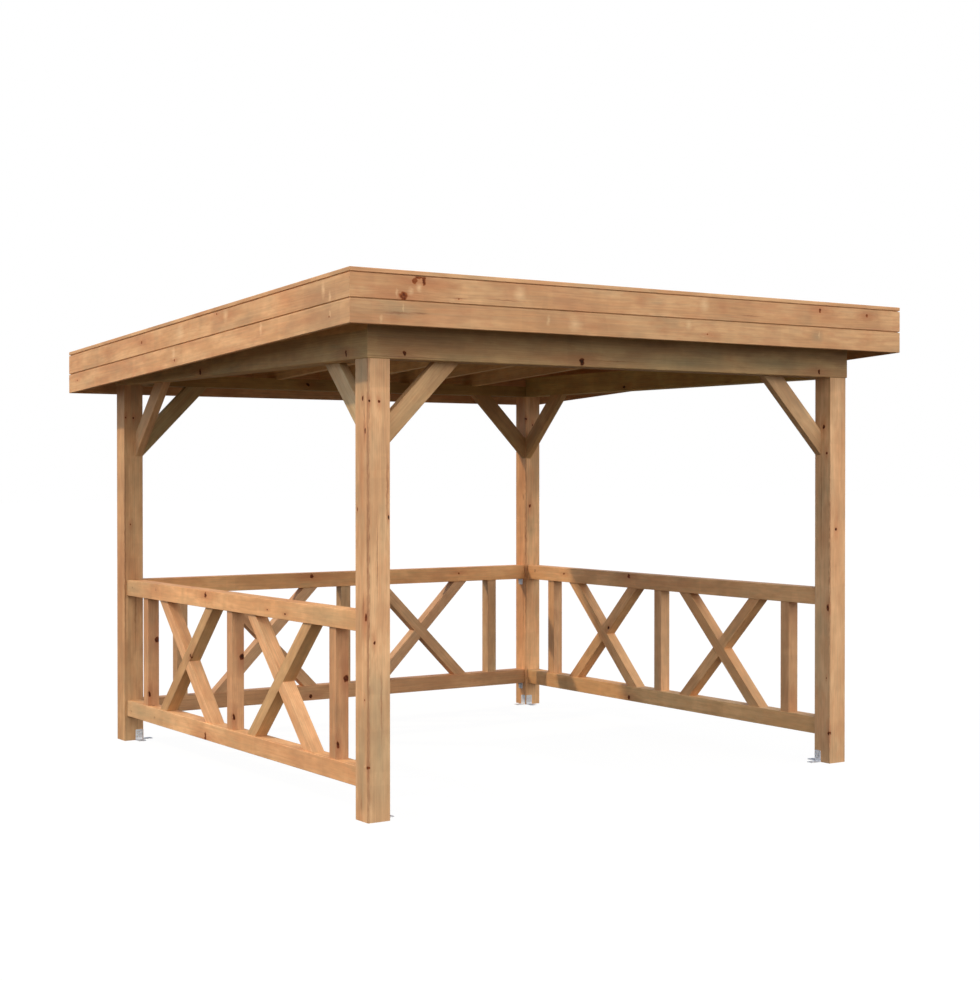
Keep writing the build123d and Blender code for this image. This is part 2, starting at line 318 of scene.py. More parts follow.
# %% Colours and patterns of the pine
ring_width = 11  # mm
heart_wander = 0.075  # how far the heart line strays
late_from, late_full = 0.3, 0.92  # the dark part of a ring
finishes = {
    # slot: pale wood, tan wood, reddish heartwood, grey-green stain, late rings, knot edge, knot middle
    "frame_timber": ("#d8b084", "#c69c72", "#bf8b61", "#9d8d6d", "#a97d55", "#7d3c20", "#2a0f07"),
    "fascia_timber": ("#d3a87b", "#c39468", "#bf865d", "#9f8a6b", "#ab7e55", "#9c5833", "#5c2a17"),
    "balustrade_timber": ("#deae7c", "#cd9b6b", "#c78c5e", "#a78f6a", "#b07f54", "#7d3c20", "#2a0f07"),
    "roof_timber": ("#dcb689", "#cca277", "#c49066", "#a39170", "#ae835a", "#7d3c20", "#2a0f07"),
}
noises = {  # one repeat along the grain and across it in mm, and detail
    "wander": (900, 300, 1),
    "fibre": (240, 6, 2),
    "streak": (900, 17, 1),
    "patch": (420, 120, 3),
    "band": (190, 800, 2),
    "mottle": (22, 13, 2),
    "blotch": (80, 24, 2),
}
steps = {  # which noise and which of its three channels, and where it starts and is full
    "tan": ("patch", "Red", 0.40, 0.60),
    "red": ("patch", "Green", 0.50, 0.66),
    "stain": ("patch", "Blue", 0.54, 0.70),
    "dark": ("streak", "Red", 0.52, 0.64),
    "grey": ("streak", "Green", 0.54, 0.66),
    "light": ("streak", "Blue", 0.54, 0.68),
    "figure": ("band", "Red", 0.35, 0.65),
    "sharp": ("band", "Green", 0.565, 0.585),
    "warm": ("blotch", "Green", 0.52, 0.68),
}
seed_way = (1.31, 0.73, 0.97)  # a seed moves the patterns along this line
print("pine:", len(finishes), "finishes of", len(noises), "noises and", len(steps), "steps")


# %% The pine groups
def pine_group(slot):
    """A group for one of the record's timber slots. It gives pine's colour, roughness, shine and normal."""
    pale, tan_wood, red, stain, late_wood, knot_edge, knot_middle = map(linear, finishes[slot])
    pine = bpy.data.node_groups.new(f"pine_{slot}", "ShaderNodeTree")
    socket(pine, "Place", "Vector")
    socket(pine, "Tone_and_painted_shade", "Color")
    for name in ("Seed", "Core", "Swirl", "Fleck", "Streak_and_corner_shade", "Stain_and_painted_shade", "Flush_and_painted_shade", "End"):
        socket(pine, name, "Float")
    socket(pine, "Colour", "Color", "OUTPUT")
    socket(pine, "Roughness", "Float", "OUTPUT")
    socket(pine, "Shine", "Float", "OUTPUT")
    socket(pine, "Normal", "Vector", "OUTPUT")
    given = put(pine, "NodeGroupInput", out=None)

    start = put(pine, "VectorMath", {0: seed_way, "Scale": given["Seed"]}, operation="SCALE")
    moved = put(pine, "VectorMath", {0: given["Place"], 1: start}, operation="ADD")
    colours, shares = {}, {}
    for name, (along, across, detail) in noises.items():
        scale = per_metre(along, across, across)
        scaled = put(pine, "VectorMath", {0: moved, 1: scale}, operation="MULTIPLY")
        feeds = {"Vector": scaled, "Scale": 1, "Detail": detail, "Roughness": 0.55}
        colours[name] = put(pine, "TexNoise", feeds, "Color")
        shares[name] = put(pine, "SeparateColor", {0: colours[name]}, None)
    step = {}
    for name, (noise, channel, low, high) in steps.items():
        feeds = {"Value": shares[noise][channel], "From Min": low, "From Max": high}
        step[name] = put(pine, "MapRange", feeds, interpolation_type="SMOOTHSTEP")
    fibre = shares["fibre"]["Red"]

    # rings round a wandering heart line
    wander = put(pine, "VectorMath", {0: colours["wander"], 1: (0.5,) * 3}, operation="SUBTRACT")
    feeds = {0: wander, 1: (heart_wander,) * 3, 2: given["Place"]}
    bent = put(pine, "VectorMath", feeds, operation="MULTIPLY_ADD")
    across = put(pine, "VectorMath", {0: bent, 1: (0, 1, 1)}, operation="MULTIPLY")
    heart = put(pine, "VectorMath", {0: across}, "Value", operation="LENGTH")
    count = put(pine, "Math", {0: heart, 1: 1000 / ring_width}, operation="MULTIPLY")
    for share, strength in ((given["Swirl"], 2.0), (fibre, 0.5)):
        count = put(pine, "Math", {0: share, 1: strength, 2: count}, operation="MULTIPLY_ADD")
    ring = put(pine, "Math", {0: count}, operation="FRACT")
    late = put(pine, "MapRange", {"Value": ring, "From Min": late_from, "From Max": late_full})
    ends = put(pine, "MapRange", {"Value": ring, "From Min": late_full, "To Min": 1, "To Max": 0})
    late = put(pine, "Math", {0: late, 1: ends}, operation="MULTIPLY")

    # colours laid over one another, then a lighter or darker hand
    layers = (
        (step["tan"], 1.0, tan_wood),
        (step["red"], 0.50, red),
        (step["stain"], 0.36, stain),
        (step["light"], 0.25, pale),
        (step["grey"], 0.15, stain),
        (step["dark"], 0.15, late_wood),
        (late, 0.20, late_wood),
        (step["warm"], 0.30, red),
        (given["Swirl"], 0.55, linear("#ad663c")),
        # greyer stains, and painted shade at the top of the front left post
        (given["Stain_and_painted_shade"], 0.70, stain),
        # reddish patches, and painted shade on the back right post's sunlit face
        (given["Flush_and_painted_shade"], 0.60, linear("#b57c52")),
        # dark grain streaks, and painted shade down the posts' corners
        (given["Streak_and_corner_shade"], 0.85, linear("#8e5f3d")),
        (given["Fleck"], 0.60, linear("#e6c59a")),
    )
    tone = pale
    for share, strength, colour in layers:
        amount = put(pine, "Math", {0: share, 1: strength}, operation="MULTIPLY", use_clamp=True)
        tone = put(pine, "Mix", {0: amount, 6: tone, 7: colour}, 2, data_type="RGBA")
    light = 0.67
    hands = (
        (fibre, 0.26),
        (shares["blotch"]["Red"], 0.30),
        (step["figure"], 0.10),
        (step["sharp"], 0.05),
        (given["End"], -0.28),
    )
    for share, strength in hands:
        light = put(pine, "Math", {0: share, 1: strength, 2: light}, operation="MULTIPLY_ADD")
    tone = put(pine, "VectorMath", {0: tone, "Scale": light}, operation="SCALE")

    # the knot: a soft red-brown edge and a dark, uneven middle
    feeds = {"Value": given["Core"], "From Max": 0.32, "To Max": 0.96}
    rim = put(pine, "MapRange", feeds, interpolation_type="SMOOTHSTEP")
    middle = put(pine, "MapRange", {"Value": given["Core"], "From Min": 0.1, "From Max": 0.5})
    feeds = {"Value": shares["mottle"]["Red"], "From Min": 0.40, "From Max": 0.56, "To Min": 0.25}
    uneven = put(pine, "MapRange", feeds)
    middle = put(pine, "Math", {0: middle, 1: uneven}, operation="MULTIPLY")
    feeds = {0: middle, 6: knot_edge, 7: knot_middle}
    knot = put(pine, "Mix", feeds, 2, data_type="RGBA")
    tone = put(pine, "Mix", {0: rim, 6: tone, 7: knot}, 2, data_type="RGBA")
    # multiplied by the timber's tone, which also holds painted shade and light
    tone = put(pine, "Mix", {0: 1, 6: tone, 7: given["Tone_and_painted_shade"]}, 2, data_type="RGBA", blend_type="MULTIPLY")

    rough = put(pine, "Math", {0: fibre, 1: 0.16, 2: 0.58}, operation="MULTIPLY_ADD")
    shine = put(pine, "MapRange", {"Value": rim, "To Min": 0.5, "To Max": 0.08})
    height = put(pine, "Math", {0: late, 1: 0.5, 2: fibre}, operation="MULTIPLY_ADD")
    relief = put(pine, "Bump", {"Height": height, "Strength": 0.3, "Distance": 0.0012})
    feeds = {"Colour": tone, "Roughness": rough, "Shine": shine, "Normal": relief}
    put(pine, "NodeGroupOutput", feeds, None)
    return pine


pines = {slot: pine_group(slot) for slot in finishes}
print("pine groups:", {slot: len(group.nodes) for slot, group in pines.items()})

# %% [markdown]
# ## Every timber and its grain
# Grain runs along a timber, so each one needs its direction: posts and balusters upwards, rails and beams
# along their runs, fascia boards down the slope, crossed bars at 45 degrees. Some nodes hold several
# timbers in a row. For those a step along the row is given, and every timber of the row gets its own heart
# line and its own patches.

# %% List the timbers
timbers = {}


def timber(name, slot, grain, length, sides, middles, row=None):
    """Notes a timber: its grain, length, two pairs of faces, the middle of each bar, and its row."""
    timbers[name] = {
        "slot": slot,
        "grain": Vector(grain).normalized(),
        "length": length,
        "sides": [(Vector(normal), half) for normal, half in sides],
        "middles": [Vector(middle) for middle in middles],
        "row": row,
    }


for y_name, y in (("front", front_y), ("back", back_y)):
    for x_name, x in (("left", -post_x), ("right", post_x)):
        sides = ((X, post_side / 2), (Y, post_side / 2))
        middle = (x, y, post_height / 2)
        timber(f"post_{y_name}_{x_name}", "frame_timber", Z, post_height, sides, [middle])

for side, run in (("front", X), ("back", X), ("left", Y), ("right", Y)):
    other = Y if run == X else X
    low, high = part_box(f"beam_{side}")
    middle, half = (low + high) / 2, (high - low) / 2
    sides = ((other, half.dot(other)), (Z, half.z))
    timber(f"beam_{side}", "frame_timber", run, 2 * half.dot(run), sides, [middle])
    slant = X if run == X else down_slope
    for piece, board in (("fascia", "lower"), ("fascia", "upper"), ("cap", "")):
        name = f"{piece}_{side}_{board}".strip("_")
        low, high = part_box(name)
        middle, half = (low + high) / 2, (high - low) / 2
        tall = fascia_board if piece == "fascia" else cap_thickness
        sides = ((other, half.dot(other)), (other.cross(slant), tall / 2))
        timber(name, "fascia_timber", slant, 2 * half.dot(run), sides, [middle])

rafter_length = 3.4  # about, as knots are only spread over it
rafter_middle = rafter_under + rafter_depth / 2
sides = ((X, rafter_width / 2), (Z, rafter_depth / 2))
middles = [(rafter_step * i, 0, rafter_middle) for i in range(-2, 3)]
timber("rafters", "roof_timber", down_slope, rafter_length, sides, middles, (0, 0, rafter_step))
edge_x = roof_x - fascia_thickness - rafter_width / 2
middles = [(-edge_x, 0, rafter_middle), (edge_x, 0, rafter_middle)]
row = (0, edge_x, 2 * edge_x)
timber("edge_rafters", "roof_timber", down_slope, rafter_length, sides, middles, row)

panels = {
    "left": (Vector((-post_x, post_shift, 0)), -Y, X, 1),
    "right": (Vector((post_x, post_shift, 0)), Y, X, 1),
    "back": (Vector((0, back_y, 0)), -X, Y, 0),
}
diagonal_length = 0.9  # about
thick = bar_thickness / 2
for side, (place, run, out, axis) in panels.items():
    for name, z in (("bottom_rail", rail_low), ("top_rail", rail_high - rail_height)):
        middle = place + Z * (z + rail_height / 2)
        sides = ((out, rail_thickness / 2), (Z, rail_height / 2))
        timber(f"{side}_{name}", "balustrade_timber", run, 2 * inner_x, sides, [middle])
    centre = place[axis]
    middles = [place + run * (baluster_step * i) + Z * infill_middle for i in (-1, 0, 1)]
    sides = ((out, thick), (run, thick))
    row = (axis, centre, baluster_step)
    timber(f"{side}_balusters", "balustrade_timber", Z, infill_high - infill_low, sides, middles, row)
    bays = [place + run * (baluster_step * i / 2) + Z * infill_middle for i in (-1, 1)]
    row = (axis, centre + baluster_step / 2, baluster_step)
    for kind, lean in (("long", 1), ("short", -1)):
        grain = run * lean + Z
        sides = ((out, thick), ((run * lean - Z).normalized(), thick))
        timber(f"{side}_{kind}_diagonals", "balustrade_timber", grain, diagonal_length, sides, bays, row)
print("timbers:", len(timbers), "with", sum(len(t["middles"]) for t in timbers.values()), "bars")

# %% [markdown]
# ## Where the knots are
# The marks that the photograph shows are put where they are on the real timber. Each is a place on a face in
# millimetres, then how far the mark reaches across the grain and along it. Knots are about round, or spikes
# where a branch was cut lengthwise. Pale flecks lie across the grain, streaks follow it, patches are reddish
# wood, and stains are greyer, where the preservative took less. A few of these marks are painted shade: the
# long streaks down the posts' corners, a stain at the top of the front left post under the roof, and a
# patch on the sunlit inner face of the back right post. The faces that the photograph doesn't show get a few
# knots from a seeded draw, about one to two metres, as joinery pine has.

# %% Knots that can be seen
seen = {}
seen["knots"] = {
    "fascia_front_upper": (
        ((-1421, -1776, 2515), 19, 15), ((-1371, -1776, 2518), 25, 12), ((-1398, -1776, 2532), 9, 26),
        ((-1480, -1776, 2443), 24, 27), ((-1179, -1776, 2446), 4, 5), ((1145, -1776, 2513), 13, 10),
        ((1501, -1776, 2502), 13, 10),
    ),
    "fascia_front_lower": (((343, -1776, 2349), 6, 5),),
    "fascia_left_upper": (((-1762, 620, 2369), 8, 10), ((-1762, -374, 2452), 6, 8)),
    "fascia_left_lower": (
        ((-1762, 1632, 2202), 7, 9), ((-1762, 168, 2244), 9, 9), ((-1762, -1585, 2348), 6, 6),
    ),
    "beam_left": (((-1555, 292, 2194), 20, 15), ((-1555, -1371, 2201), 17, 9)),
    "beam_front": (
        ((-1355, -1574, 2200), 16, 9), ((-312, -1574, 2196), 22, 18), ((1336, -1574, 2199), 15, 9),
    ),
    "beam_back": (((-293, 1412, 2206), 15, 15),),
    "beam_right": (((1430, 296, 2193), 15, 15),),
    "post_front_left": (
        ((-1550, -1520, 1984), 8, 15), ((-1541, -1568, 1969), 7, 7), ((-1491, -1568, 1969), 6, 7),
        ((-1550, -1542, 1831), 8, 16), ((-1550, -1470, 1465), 4, 12), ((-1439, -1568, 1426), 5, 14),
        ((-1550, -1548, 960), 16, 24), ((-1515, -1568, 841), 8, 9), ((-1550, -1537, 571), 6, 6),
        ((-1550, -1563, 258), 9, 9),
    ),
    "post_front_right": (
        ((1476, -1568, 1319), 9, 10), ((1430, -1554, 875), 12, 26), ((1430, -1563, 169), 12, 12),
        ((1430, -1542, 480), 4, 6), ((1430, -1519, 1894), 11, 13), ((1430, -1540, 1746), 9, 10),
    ),
    "post_back_right": (
        ((1467, 1412, 1400), 11, 13), ((1433, 1412, 2013), 7, 8), ((1490, 1412, 1971), 6, 7),
    ),
    "post_back_left": (
        ((-1541, 1412, 1971), 6, 7), ((-1490, 1412, 1971), 6, 7), ((-1512, 1412, 1319), 6, 7),
    ),
    "left_top_rail": (
        ((-1535, 271, 957), 20, 14), ((-1535, -493, 927), 5, 6), ((-1535, -694, 917), 6, 10),
    ),
    "left_bottom_rail": (((-1535, 274, 172), 26, 14),),
    "left_long_diagonals": (((-1525, 495, 599), 16, 13),),
    "left_balusters": (
        ((-1468, -54, 638), 17, 21), ((-1518, -54, 317), 12, 22), ((-1470, -1214, 635), 17, 21),
        ((-1516, -1214, 318), 12, 22), ((-1468, 1106, 638), 17, 21), ((-1518, 1106, 317), 12, 22),
    ),
    "right_top_rail": (((1445, 264, 965), 18, 15), ((1445, 976, 945), 8, 10)),
    "right_bottom_rail": (((1445, 262, 174), 18, 15),),
    "right_short_diagonals": (((1455, 491, 608), 14, 14),),
    "back_top_rail": (((-259, 1426, 963), 18, 15), ((880, 1426, 945), 9, 10)),
    "back_bottom_rail": (((-267, 1426, 178), 18, 15),),
    "back_long_diagonals": (((-513, 1436, 603), 14, 14),),
}
print("knots:", sum(map(len, seen["knots"].values())))

# %% Flecks, streaks and painted corner shade
seen["flecks"] = {
    "fascia_front_lower": (
        ((-1480, -1776, 2387), 26, 6), ((1139, -1776, 2383), 24, 6), ((-506, -1776, 2360), 48, 50),
        ((-663, -1776, 2372), 34, 14), ((217, -1776, 2390), 36, 24), ((-1597, -1776, 2332), 24, 10),
    ),
    "fascia_front_upper": (
        ((-1396, -1776, 2486), 24, 20), ((-1516, -1776, 2456), 28, 9), ((324, -1776, 2500), 50, 40),
        ((-1440, -1776, 2468), 24, 20), ((-833, -1776, 2490), 50, 46),
    ),
    "fascia_left_lower": (
        ((-1762, -882, 2345), 46, 16), ((-1762, 175, 2280), 50, 26), ((-1762, -1592, 2361), 26, 9),
    ),
    "fascia_left_upper": (
        ((-1762, -1526, 2478), 50, 22), ((-1762, -1590, 2440), 34, 14), ((-1762, 90, 2390), 56, 60),
        ((-1762, -480, 2440), 50, 34),
    ),
    "post_front_left": (((-1550, -1540, 262), 10, 8),),
}
seen["streaks_and_corner_shade"] = {
    # The first two streaks here, and the first on each other post, run down a post's corner: they are painted
    # shade along the corner, not grain.
    "post_front_left": (
        ((-1548, -1568, 1150), 6, 2400), ((-1550, -1565, 1150), 6, 2400), ((-1550, -1533, 1870), 7, 150),
        ((-1446, -1568, 1560), 7, 220), ((-1550, -1524, 1010), 9, 90), ((-1550, -1505, 80), 8, 50),
        ((-1478, -1568, 560), 5, 260), ((-1500, -1568, 1250), 4, 300),
    ),
    "post_front_right": (((1434, -1568, 1080), 5, 900), ((1430, -1500, 1500), 6, 400)),
    "post_back_left": (((-1545, 1412, 1150), 6, 800), ((-1480, 1412, 800), 7, 300)),
    "post_back_right": (
        ((1434, 1412, 1150), 6, 850), ((1430, 1440, 700), 6, 300), ((1430, 1440, 1465), 12, 28),
    ),
    "fascia_front_lower": (((-1505, -1776, 2364), 6, 110), ((-1390, -1776, 2368), 5, 60)),
    "fascia_front_upper": (
        ((-900, -1776, 2455), 5, 150), ((-1180, -1776, 2450), 4, 80), ((640, -1776, 2460), 4, 120),
    ),
    "beam_front": (((-1350, -1574, 2180), 3, 400), ((-100, -1574, 2205), 4, 200)),
    "left_top_rail": (((-1535, 966, 946), 11, 14), ((-1535, 1322, 941), 10, 12)),
    "right_top_rail": (((1445, 1319, 946), 13, 14),),
    "left_bottom_rail": (((-1535, 986, 192), 11, 14), ((-1535, 1345, 192), 10, 12)),
}
print("flecks and streaks:", sum(map(len, [*seen["flecks"].values(), *seen["streaks_and_corner_shade"].values()])))

# %% Patches and stains, two of them painted shade
seen["patches_and_painted_shade"] = {
    "fascia_left_upper": (
        ((-1762, -1420, 2450), 62, 420), ((-1762, -486, 2432), 45, 150), ((-1762, 620, 2376), 40, 200),
        ((-1762, 1180, 2350), 36, 160),
    ),
    "fascia_left_lower": (((-1762, -1380, 2350), 52, 380), ((-1762, 800, 2222), 36, 200)),
    "fascia_front_upper": (
        ((-1398, -1776, 2518), 36, 56), ((-1310, -1776, 2506), 28, 130), ((-94, -1776, 2500), 44, 50),
        ((448, -1776, 2496), 46, 60), ((1220, -1776, 2480), 50, 130), ((1510, -1776, 2500), 34, 60),
    ),
    "fascia_front_lower": (
        ((-383, -1776, 2350), 26, 90), ((60, -1776, 2350), 24, 80), ((390, -1776, 2345), 30, 60),
        ((-1530, -1776, 2336), 26, 60),
    ),
    "post_front_left": (
        ((-1550, -1505, 1650), 30, 300), ((-1550, -1530, 980), 26, 150), ((-1444, -1568, 1600), 14, 240),
    ),
    "left_bottom_rail": (((-1535, -692, 235), 12, 60), ((-1535, -900, 200), 130, 560)),
    "left_top_rail": (((-1535, 960, 935), 80, 380),),
    "beam_front": (((-1150, -1574, 2232), 60, 620), ((-480, -1574, 2210), 40, 320)),
    "post_front_right": (((1430, -1560, 880), 20, 60), ((1490, -1568, 1300), 80, 700)),
    # This patch is painted shade: it darkens and reddens the sunlit inner face of the back right post.
    "post_back_right": (((1430, 1472, 1000), 90, 1300),),
    "post_back_left": (((-1550, 1472, 1000), 90, 900),),
}
seen["stains_and_painted_shade"] = {
    # The last stain here, at the top of the post's outer face under the roof, is painted shade.
    "post_front_left": (
        ((-1490, -1568, 330), 90, 480), ((-1550, -1508, 300), 60, 300), ((-1550, -1508, 2110), 110, 220),
    ),
    "left_bottom_rail": (((-1535, 1200, 200), 90, 560),),
    "left_top_rail": (((-1535, -1150, 935), 70, 520), ((-1535, 1300, 935), 90, 420)),
    "fascia_front_lower": (((-1500, -1776, 2374), 44, 150), ((1120, -1776, 2370), 40, 60)),
    "beam_front": (((350, -1574, 2210), 50, 500), ((1000, -1574, 2230), 50, 300)),
    "fascia_left_upper": (((-1762, -1560, 2450), 100, 420),),
    "fascia_left_lower": (((-1762, -1560, 2350), 100, 420),),
}
mark_inputs = {"flecks": "Fleck", "streaks_and_corner_shade": "Streak_and_corner_shade", "patches_and_painted_shade": "Flush_and_painted_shade", "stains_and_painted_shade": "Stain_and_painted_shade"}
print("patches and stains:", sum(map(len, [*seen["patches_and_painted_shade"].values(), *seen["stains_and_painted_shade"].values()])))

# %% Tones, partly painted shade and light
# Each timber's own tone plus painted shade and light: the beams, always in the roof's shade, are darkened,
# and other timbers are made lighter, darker, bluer or warmer to make up for how they are lit.
tones_and_painted_shade = {  # shares of red, green and blue that bring each timber close to its colour in the photograph
    "beam_front": (0.70, 0.72, 0.62),
    "beam_left": (0.75, 0.80, 0.66),
    "beam_back": (0.61, 0.63, 0.40),
    "beam_right": (0.83, 0.94, 0.64),
    "roof_boards": (1.06, 1.16, 1.08),
    "rafters": (1.02, 1.12, 1.08),
    "edge_rafters": (0.98, 0.84, 0.74),
    "fascia_front_upper": (0.92, 0.91, 0.90),
    "fascia_front_lower": (0.87, 0.86, 0.84),
    "fascia_left_upper": (1.09, 1.09, 1.08),
    "fascia_left_lower": (1.09, 1.09, 1.08),
    "post_front_left": (1.06, 1.04, 1.05),
    "post_front_right": (1.04, 1.04, 1.06),
    "post_back_left": (0.94, 0.90, 0.84),
    "post_back_right": (1.21, 1.14, 1.06),
    "left_top_rail": (1.12, 1.12, 1.12),
    "left_bottom_rail": (1.11, 1.15, 1.20),
    "left_balusters": (0.84, 0.80, 0.84),
    "left_long_diagonals": (0.84, 0.90, 0.90),
    "left_short_diagonals": (1.09, 1.08, 1.15),
    "right_top_rail": (1.06, 1.08, 1.10),
    "right_bottom_rail": (1.05, 1.13, 1.14),
    "right_balusters": (0.94, 0.95, 1.03),
    "back_top_rail": (1.12, 1.08, 1.00),
    "back_bottom_rail": (0.85, 0.83, 0.86),
    "back_balusters": (0.84, 0.94, 1.06),
    "back_long_diagonals": (0.88, 0.90, 0.98),
    "back_short_diagonals": (0.86, 0.90, 1.03),
    "brace_front_left_deep": (0.99, 1.20, 1.32),
    "brace_front_left_across": (0.80, 0.80, 0.76),
    "brace_back_left_across": (0.77, 0.94, 0.86),
    "brace_back_right_across": (0.73, 0.69, 0.52),
    "brace_back_right_deep": (0.92, 0.91, 0.76),
    "brace_front_right_across": (0.87, 0.90, 0.93),
}
print("timbers with a tone of their own:", len(tones_and_painted_shade))

# %% Marks on the other faces
knots_to_a_metre = 0.55
narrow_face = 0.030  # half the width of a face that is too narrow for a knot
small_knot, large_knot = 0.006, 0.012
short_knot, long_knot = 0.8, 1.6  # along the grain, as shares of the radius
knot_run, knot_stray = 0.42, 0.6  # furthest from the middle, as shares of the length and of half the width
hidden_ways = (X, Y, Z, -Z)  # ways that the photograph doesn't see, or sees only dimly
looks_that_way = 0.8  # a face counts as looking one of these ways from this share on


def drawn_knots(name, most=5):
    """A few knots on the faces that the photograph doesn't show."""
    draw = random.Random(f"knots of {name}")
    spec = timbers[name]
    found = []
    for middle in spec["middles"]:
        for i, (normal, half) in enumerate(spec["sides"]):
            beside, wide = spec["sides"][1 - i]
            for facing in (normal, -normal):
                if wide < narrow_face or max(facing.dot(way) for way in hidden_ways) < looks_that_way:
                    continue
                if draw.random() > knots_to_a_metre * spec["length"]:
                    continue
                slide = spec["grain"] * (draw.uniform(-knot_run, knot_run) * spec["length"])
                stray = beside * (draw.uniform(-knot_stray, knot_stray) * wide)
                spot = middle + facing * half + stray + slide
                radius = draw.uniform(small_knot, large_knot)
                found.append((spot, facing, radius, draw.uniform(short_knot, long_knot)))
    draw.shuffle(found)
    return found[:most]


def face_of(name, spot):
    """The way that the timber's face looks on which this spot lies."""
    spec = timbers[name]
    middle = min(spec["middles"], key=lambda m: (m - spot).cross(spec["grain"]).length)
    apart = spot - middle
    apart -= spec["grain"] * apart.dot(spec["grain"])
    ways = [(abs(apart.dot(n)) - half, n if apart.dot(n) > 0 else -n) for n, half in spec["sides"]]
    return max(ways, key=lambda way: way[0])[1]


print("knots drawn for the front beam:", len(drawn_knots("beam_front")))

# %% [markdown]
# ## From a timber to its finish
# A Mapping node turns each timber so that its grain lies along the pattern's first axis, and moves it so
# that the heart line lies where the log's heart would have been. Boards are cut from the side of a log, so
# their heart is well behind the face and the rings show as long pointed arches.


# %% Make a finish for a timber
nearest_heart, furthest_heart, heart_slant = 0.045, 0.085, 0.6
most_seed, seed_step = 8, 0.83  # where in the patterns a timber starts, and the step to the next in a row
ragged_size = (40, 16, 16)  # mm, along the grain and across it
ragged_swing = 1.2


def chain(tree, place, ragged, grain, marks):
    """Marks one after another. Returns the darkest core and the strongest swirl."""
    core, swirl = 0.0, 0.0
    for spot, facing, radius, length in marks:
        feeds = {
            "Place": place, "Ragged": ragged, "Centre": spot, "Facing": facing, "Grain": grain,
            "Radius": radius, "Length": length, "Core": core, "Swirl": swirl,
        }
        made = put(tree, "Group", feeds, None, node_tree=branch)
        core, swirl = made["Core"], made["Swirl"]
    return core, swirl


def pine_finish(name):
    """Treated pine, planed: a dry brown timber whose rings, knots and patches belong to this piece alone."""
    spec = timbers[name]
    draw = random.Random(f"heart of {name}")
    grain = spec["grain"]
    finish, tree = new_finish(f"treated_pine_planed.{name}")
    coords = put(tree, "TexCoord", out=None)
    place = coords["Object"]
    seed = draw.uniform(0, most_seed)
    local = place
    anchor = spec["middles"][0].copy()
    if spec["row"]:
        axis, centre, step = spec["row"]
        parts = put(tree, "SeparateXYZ", {0: place}, None)
        shifted = put(tree, "Math", {0: parts[axis], 1: centre}, operation="SUBTRACT")
        number = put(tree, "Math", {0: shifted, 1: step}, operation="DIVIDE")
        number = put(tree, "Math", {0: number}, operation="ROUND")
        home = put(tree, "Math", {0: number, 1: -step, 2: shifted}, operation="MULTIPLY_ADD")
        feeds = {i: home if i == axis else parts[i] for i in range(3)}
        local = put(tree, "CombineXYZ", feeds)
        anchor[axis] = 0
        seed = put(tree, "Math", {0: number, 1: seed_step, 2: seed}, operation="MULTIPLY_ADD")
    thin = min(spec["sides"], key=lambda side: side[1])
    heart_way = thin[0] * draw.choice((-1, 1))
    heart_way += grain.cross(thin[0]) * draw.uniform(-heart_slant, heart_slant)
    heart = anchor + heart_way * draw.uniform(nearest_heart, furthest_heart)
    turn = grain.rotation_difference(X).to_matrix()
    feeds = {"Vector": local, "Location": -(turn @ heart), "Rotation": turn.to_euler()}
    laid = put(tree, "Mapping", feeds)

    ragged = put(tree, "VectorMath", {0: laid, 1: per_metre(*ragged_size)}, operation="MULTIPLY")
    ragged = put(tree, "TexNoise", {"Vector": ragged, "Scale": 1, "Detail": 2}, "Color")
    feeds = {0: ragged, 1: (2 * ragged_swing,) * 3, 2: (-ragged_swing,) * 3}
    ragged = put(tree, "VectorMath", feeds, operation="MULTIPLY_ADD")
    found = {"knots": drawn_knots(name)}
    for kind, table in seen.items():
        for spot, radius, reach in table.get(name, ()):
            spot = Vector(spot) / 1000
            mark = (spot, face_of(name, spot), radius / 1000, reach / radius)
            found.setdefault(kind, []).append(mark)
    ovals = {kind: chain(tree, place, ragged, grain, marks) for kind, marks in found.items()}

    facing = put(tree, "VectorMath", {0: coords["Normal"], 1: grain}, "Value", operation="DOT_PRODUCT")
    facing = put(tree, "Math", {0: facing}, operation="ABSOLUTE")
    feeds = {
        "Place": laid,
        "Seed": seed,
        "Tone_and_painted_shade": (*tones_and_painted_shade.get(name, (1, 1, 1)), 1),
        "Core": ovals["knots"][0],
        "Swirl": ovals["knots"][1],
        "End": put(tree, "MapRange", {"Value": facing, "From Min": 0.5, "From Max": 0.8}),
    }
    feeds |= {entry: ovals[kind][0] for kind, entry in mark_inputs.items() if kind in ovals}
    wood = put(tree, "Group", feeds, None, node_tree=pines[spec["slot"]])
    feeds = {
        "Base Color": wood["Colour"],
        "Roughness": wood["Roughness"],
        "Normal": wood["Normal"],
        "IOR": 1.53,
    }
    if found["knots"]:
        feeds["Specular IOR Level"] = wood["Shine"]
    shader = put(tree, "BsdfPrincipled", feeds)
    put(tree, "OutputMaterial", {"Surface": shader}, None)
    return finish, len(found["knots"])


knot_total = 0
for name in timbers:
    finish, marks = pine_finish(name)
    knot_total += marks
    for place in nodes[name].material_slots:
        place.material = finish
print("finished", len(timbers), "timbers with", knot_total, "knots")

# %% [markdown]
# ## The knee braces
# A knee brace is a planed bar at 45 degrees, cut plumb against the post and level under the beam. In the
# frame the two braces of a post are one node, yet their grain runs two ways, so each becomes a piece of its
# own here. One is made as a joiner would: a bar with its four long edges eased, turned to 45 degrees, then
# cut at both ends with bisect. It is copied to the eight places by plain turns about the vertical, because
# a brace looks the same from either side.


# %% Helpers for modelling by hand
straight = 0.9  # an edge or a face lies along an axis where its share of that axis is more than this
near = 0.001  # what lies closer than this counts as the same place


def choose(piece):
    """Selects this piece alone."""
    bpy.ops.object.select_all(action="DESELECT")
    piece.select_set(True)
    bpy.context.view_layer.objects.active = piece


